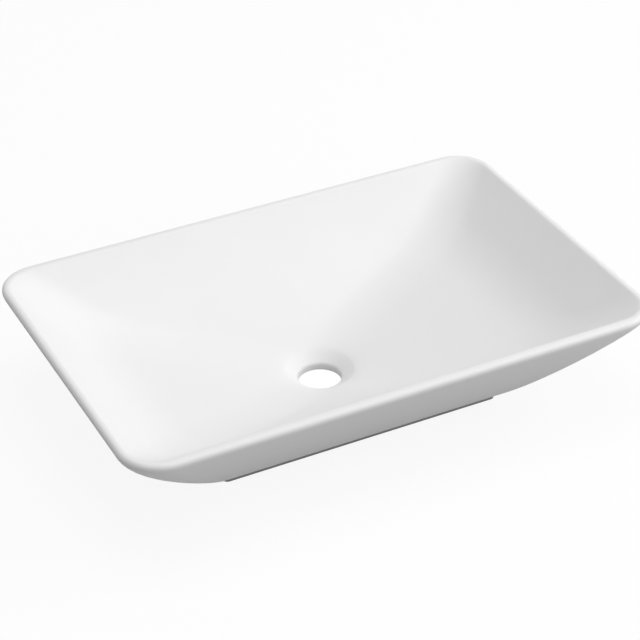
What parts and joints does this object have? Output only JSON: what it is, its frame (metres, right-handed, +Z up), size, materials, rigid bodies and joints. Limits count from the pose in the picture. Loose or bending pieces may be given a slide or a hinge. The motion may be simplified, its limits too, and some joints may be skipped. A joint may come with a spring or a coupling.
{
  "type": "washbasin",
  "caption": "White glazed ceramic countertop washbasin: rounded rectangular rim, bowl sloping to an open waste hole, walls drawn in to a small foot on rubber seating strips.",
  "frame": {"origin": "on the counter, under the middle of the rim", "axes": "+X along the basin's length, +Y towards its back, +Z up"},
  "size_m": [0.6, 0.4, 0.13],
  "materials": {
    "glaze": "smooth white glaze",
    "seat_rubber": "matte dark grey"
  },
  "bodies": {
    "root": {"basin_body": "glaze", "seat_strip_front": "seat_rubber", "seat_strip_rear": "seat_rubber", "seat_strip_left": "seat_rubber", "seat_strip_right": "seat_rubber"}
  },
  "joints": []
}
